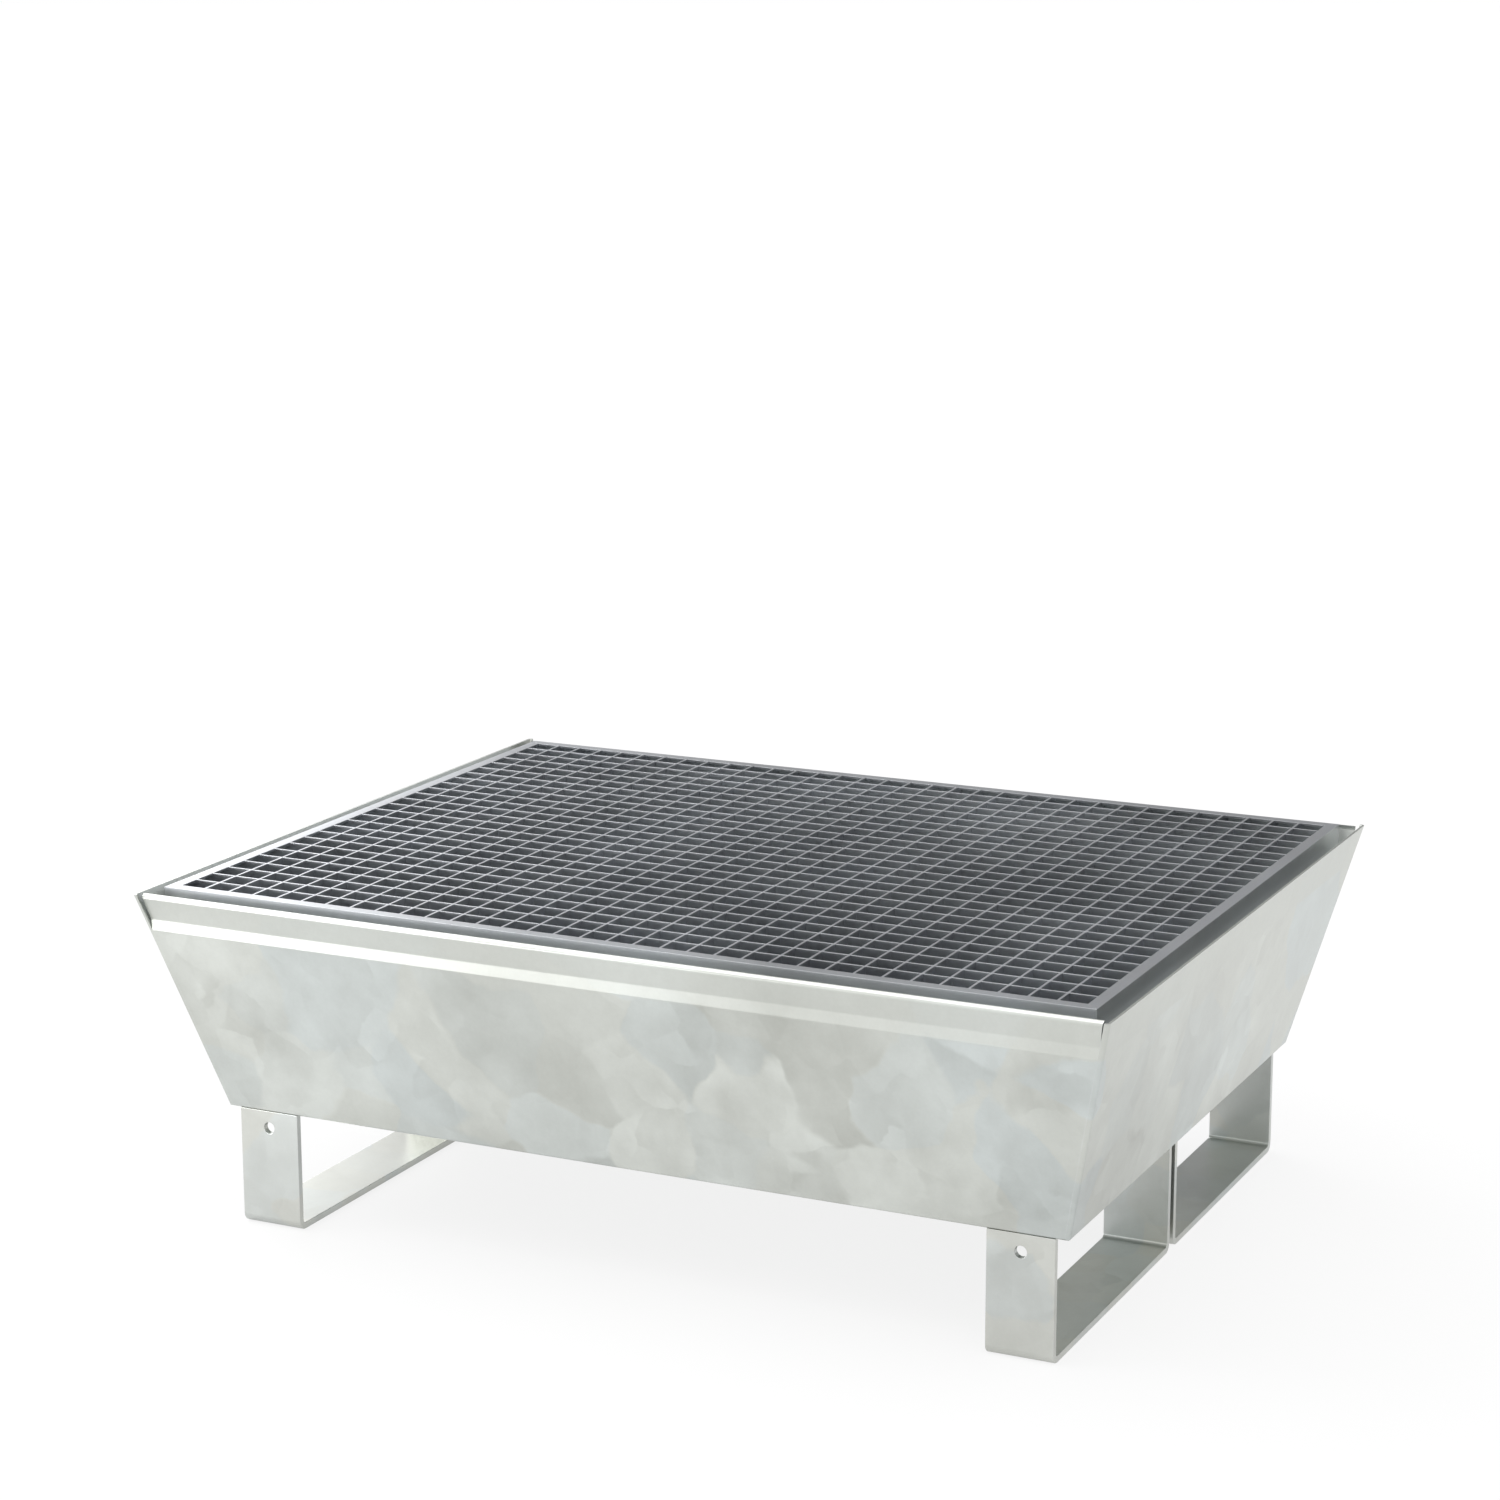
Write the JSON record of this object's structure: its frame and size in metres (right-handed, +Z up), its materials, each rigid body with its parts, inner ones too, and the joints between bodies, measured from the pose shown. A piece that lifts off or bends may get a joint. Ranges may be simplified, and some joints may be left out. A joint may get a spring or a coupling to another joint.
{
  "type": "spill containment pallet",
  "caption": "Tapered galvanised steel sump on bent flat-bar feet, with a lift-out bar grating that carries drums.",
  "frame": {"origin": "on the floor, under the middle of the pallet", "axes": "+X along the long side to the right, -Y the front, +Z up"},
  "size_m": [1.212, 0.95, 0.4245],
  "materials": {
    "galvanised_tray": "hot-dip galvanised, matt, with soft cloudy patches",
    "galvanised_inside": "hot-dip galvanised, matt",
    "galvanised_grating": "hot-dip galvanised, slightly darker and bluish"
  },
  "bodies": {
    "tray": {"trough_sheet": "galvanised_tray", "left_end_panel": "galvanised_tray", "right_end_panel": "galvanised_tray", "front_left_foot": "galvanised_tray", "front_right_foot": "galvanised_tray", "rear_left_foot": "galvanised_tray", "rear_right_foot": "galvanised_tray", "front_ledge": "galvanised_inside", "rear_ledge": "galvanised_inside", "left_ledge": "galvanised_inside", "right_ledge": "galvanised_inside", "front_ledge_brackets": "galvanised_inside", "rear_ledge_brackets": "galvanised_inside", "left_ledge_brackets": "galvanised_inside", "right_ledge_brackets": "galvanised_inside"},
    "grating": {"grating_front_edge": "galvanised_grating", "grating_rear_edge": "galvanised_grating", "grating_left_edge": "galvanised_grating", "grating_right_edge": "galvanised_grating", "cross_bars": "galvanised_grating", "bearing_bar_1": "galvanised_grating", "bearing_bar_2": "galvanised_grating", "bearing_bar_3": "galvanised_grating", "bearing_bar_4": "galvanised_grating", "bearing_bar_5": "galvanised_grating", "bearing_bar_6": "galvanised_grating", "bearing_bar_7": "galvanised_grating", "bearing_bar_8": "galvanised_grating", "bearing_bar_9": "galvanised_grating", "bearing_bar_10": "galvanised_grating", "bearing_bar_11": "galvanised_grating", "bearing_bar_12": "galvanised_grating", "bearing_bar_13": "galvanised_grating", "bearing_bar_14": "galvanised_grating", "bearing_bar_15": "galvanised_grating", "bearing_bar_16": "galvanised_grating", "bearing_bar_17": "galvanised_grating", "bearing_bar_18": "galvanised_grating", "bearing_bar_19": "galvanised_grating", "bearing_bar_20": "galvanised_grating", "bearing_bar_21": "galvanised_grating", "bearing_bar_22": "galvanised_grating", "bearing_bar_23": "galvanised_grating", "bearing_bar_24": "galvanised_grating", "bearing_bar_25": "galvanised_grating", "bearing_bar_26": "galvanised_grating", "bearing_bar_27": "galvanised_grating", "bearing_bar_28": "galvanised_grating", "bearing_bar_29": "galvanised_grating", "bearing_bar_30": "galvanised_grating", "bearing_bar_31": "galvanised_grating", "bearing_bar_32": "galvanised_grating", "bearing_bar_33": "galvanised_grating"}
  },
  "joints": [
    {"name": "grating_lift", "type": "slide", "parent": "tray", "child": "grating", "axis": [0, 0, 1], "range_m": [0, 0.3]}
  ]
}
